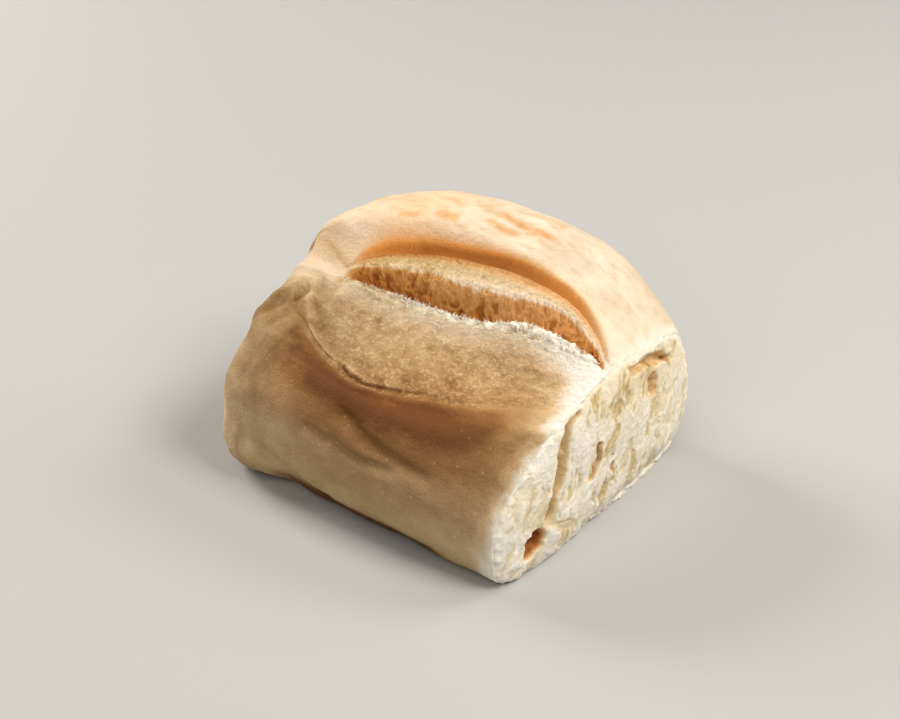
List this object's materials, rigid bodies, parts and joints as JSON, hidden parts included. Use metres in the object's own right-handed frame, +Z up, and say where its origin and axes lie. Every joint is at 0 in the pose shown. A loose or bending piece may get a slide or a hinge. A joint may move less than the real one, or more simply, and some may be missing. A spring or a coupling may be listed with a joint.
{
  "type": "short baguette roll",
  "caption": "Short soft white baguette roll with a slashed top and one torn end that shows the crumb.",
  "frame": {"origin": "on the surface the loaf rests on, under the middle of its bounding box", "axes": "+X along the loaf to its torn end, +Y to the high rear side, away from the slash's flap, +Z up"},
  "size_m": [0.0904, 0.0812, 0.0564],
  "materials": {
    "crust": "soft matte baked crust, light golden to tan",
    "crumb": "matte open cream crumb"
  },
  "bodies": {
    "root": {"loaf": "crust"}
  },
  "joints": []
}
